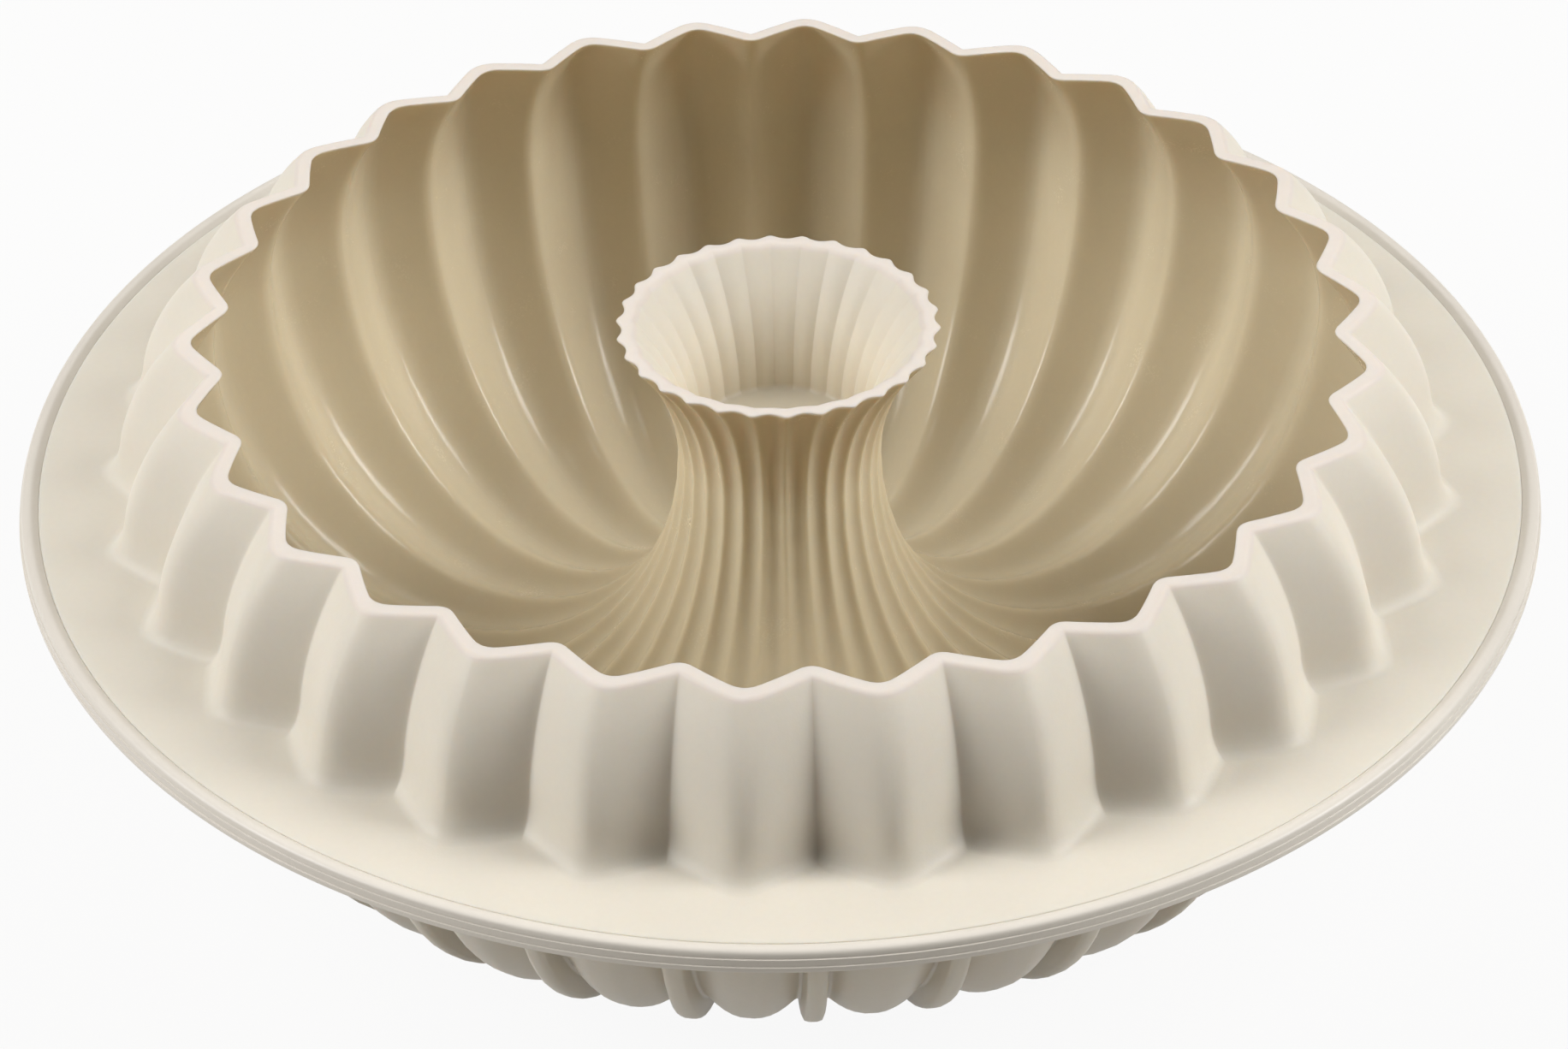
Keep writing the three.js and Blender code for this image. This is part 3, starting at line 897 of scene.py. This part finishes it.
def floor_material(studio):
    """Pale matte floor that takes the shadow.

    It is whitened where it is seen straight, mirrored or through glass.
    """
    material, tree, shader = new_material("studio_floor")
    feed(tree, shader.inputs["Base Color"], studio.floor)
    shader.inputs["Roughness"].default_value = FLOOR_ROUGH
    path = tree.nodes.new("ShaderNodeLightPath")
    seen = path.outputs["Is Camera Ray"]
    for other in ("Is Glossy Ray", "Is Transmission Ray"):
        seen = calculated(tree, "MAXIMUM", seen, path.outputs[other])
    whitened = calculated(tree, "MULTIPLY", seen, studio.floor_white)
    white = tree.nodes.new("ShaderNodeEmission")
    blend = tree.nodes.new("ShaderNodeMixShader")
    for socket, source in zip(blend.inputs, (whitened, shader.outputs[0], white.outputs[0])):
        feed(tree, socket, source)
    feed(tree, tree.nodes["Material Output"].inputs["Surface"], blend.outputs[0])
    return material


# Studio


def soft_lamp(name, watts, size, centre, round_axis, raised):
    """A square lamp that faces the centre, placed by degrees round the axis and above the horizon."""
    across, up = math.radians(round_axis), math.radians(raised)
    away = Vector((math.cos(up) * math.cos(across), math.cos(up) * math.sin(across), math.sin(up)))
    data = bpy.data.lights.new(name, "AREA")
    data.energy = watts
    data.size = size
    lamp = bpy.data.objects.new(name, data)
    lamp.location = centre + LAMP_DISTANCE * away
    lamp.rotation_euler = (-away).to_track_quat("-Z", "Y").to_euler()
    bpy.context.scene.collection.objects.link(lamp)


def studio_lamps(mould):
    """A low and a high lamp on each side, a little stronger on the right, and one lamp behind."""
    studio = mould.studio
    centre = Vector((0.0, 0.0, mould.trough.flange_level))
    pairs = (
        ("low", studio.low_sides, LOW_FORWARD, LOW_RAISED),
        ("high", studio.high_sides, HIGH_FORWARD, HIGH_RAISED),
    )
    for name, watts, forward, raised in pairs:
        right_watts = watts * studio.right_gain
        soft_lamp(f"right_{name}", right_watts, SIDE_LAMP_SIZE, centre, RIGHT - forward, raised)
        soft_lamp(f"left_{name}", watts, SIDE_LAMP_SIZE, centre, LEFT + forward, raised)
    soft_lamp("behind", studio.behind, BACK_LAMP_SIZE, centre, BACK, BACK_RAISED)


def photo_camera(mould):
    """Camera at the photograph's place: on the line of sight, at the distance from the point looked at."""
    studio = mould.studio
    data = bpy.data.cameras.new("photo_camera")
    data.sensor_width = SENSOR_WIDTH
    data.lens = studio.focal_pixels / PHOTO_WIDTH * SENSOR_WIDTH
    tilt = Matrix.Rotation(math.pi / 2.0 - studio.elevation, 4, "X")
    spin = Matrix.Rotation(studio.azimuth, 4, "Z")
    roll = Matrix.Rotation(studio.roll, 4, "Z")
    aim = Matrix.Translation((studio.aim_side, 0.0, mould.trough.flange_level - studio.aim_drop))
    camera = bpy.data.objects.new("photo_camera", data)
    camera.matrix_world = spin @ aim @ tilt @ Matrix.Translation((0.0, 0.0, studio.distance)) @ roll
    bpy.context.scene.collection.objects.link(camera)
    bpy.context.scene.camera = camera


def studio_floor(studio):
    """A square floor just under the feet."""
    corners = FLOOR_HALF * np.array([(-1.0, -1.0), (1.0, -1.0), (1.0, 1.0), (-1.0, 1.0)])
    points = np.column_stack([corners, np.full(len(corners), -FLOOR_GAP)])
    mesh = bpy.data.meshes.new("floor")
    mesh.from_pydata(points.tolist(), [], [(0, 1, 2, 3)])
    mesh.materials.append(floor_material(studio))
    floor = bpy.data.objects.new("floor", mesh)
    bpy.context.scene.collection.objects.link(floor)


def even_sky(studio):
    """Even white light from all round, seen by the camera as plain white."""
    world = bpy.data.worlds.new("even_sky")
    world.use_nodes = True
    tree = world.node_tree
    light = tree.nodes["Background"]
    light.inputs["Color"].default_value = (1.0, 1.0, 1.0, 1.0)
    path = tree.nodes.new("ShaderNodeLightPath")
    seen = map_range(tree, path.outputs["Is Camera Ray"], 0.0, 1.0, studio.sky, 1.0)
    feed(tree, light.inputs["Strength"], seen)
    bpy.context.scene.world = world


# Operators


class MOULD_OT_silicone_moulding(bpy.types.Operator):
    """Build the silicone moulding: trough, tube, flange and fins in one piece"""

    bl_idname = "mould.silicone_moulding"
    bl_label = "Silicone Moulding"

    def execute(self, context):
        mould = context.scene.cake_mould
        places, points, batter, edges = mould_rows(MouldSection(mould))
        grid = round_the_axis(places, points, mould.flutes.count)
        # The masks carry the batter side's polish and painted shade, and the painted light on the rim and
        # lip
        piece = skin_piece("silicone_moulding", grid, True, batter_side=batter, thin_edge=edges)
        piece.data.materials.append(silicone_material(mould.finish))
        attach(piece, "root")
        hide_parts("silicone_body")
        return {"FINISHED"}


class MOULD_OT_stiffening_ring(bpy.types.Operator):
    """Build the ring that is pressed over the edge of the flange"""

    bl_idname = "mould.stiffening_ring"
    bl_label = "Stiffening Ring"

    def execute(self, context):
        mould = context.scene.cake_mould
        grid = carry_round(ring_outline(MouldSection(mould)), RING_STEPS)
        piece = skin_piece("edge_ring", grid, False)
        piece.data.materials.append(ring_material(mould.finish))
        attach(piece, "root")
        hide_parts("stiffening_ring")
        return {"FINISHED"}


class MOULD_OT_studio(bpy.types.Operator):
    """Set up the camera, the soft lights and the pale floor"""

    bl_idname = "mould.studio"
    bl_label = "Studio"

    def execute(self, context):
        mould = context.scene.cake_mould
        context.scene.view_settings.view_transform = "Standard"
        photo_camera(mould)
        studio_floor(mould.studio)
        even_sky(mould.studio)
        studio_lamps(mould)
        return {"FINISHED"}


class MOULD_PT_panel(bpy.types.Panel):
    """The mould's operators and settings"""

    bl_idname = "MOULD_PT_panel"
    bl_label = "Cake Mould"
    bl_space_type = "VIEW_3D"
    bl_region_type = "UI"
    bl_category = "Cake Mould"

    def draw(self, context):
        for operator in OPERATORS:
            self.layout.operator(operator.bl_idname)
        mould = context.scene.cake_mould
        for group in (mould.trough, mould.flutes, mould.flange, mould.fins, mould.finish, mould.studio):
            settings = self.layout.box()
            for name in group.bl_rna.properties.keys():
                if name not in {"rna_type", "name"}:
                    settings.prop(group, name)


GROUPS = (TroughSizes, FluteSizes, FlangeSizes, FinSizes, SiliconeFinish, StudioSettings, CakeMould)
OPERATORS = (MOULD_OT_silicone_moulding, MOULD_OT_stiffening_ring, MOULD_OT_studio)
CLASSES = (*GROUPS, *OPERATORS, MOULD_PT_panel)


def register():
    """Register the classes and hang the settings on the scene."""
    for made in CLASSES:
        bpy.utils.register_class(made)
    bpy.types.Scene.cake_mould = PointerProperty(type=CakeMould)


def unregister():
    """Take the settings and the classes away again."""
    del bpy.types.Scene.cake_mould
    for made in reversed(CLASSES):
        bpy.utils.unregister_class(made)


def main():
    """Build the mould and its studio."""
    register()
    bpy.ops.mould.silicone_moulding()
    bpy.ops.mould.stiffening_ring()
    bpy.ops.mould.studio()


if __name__ == "__main__":
    main()
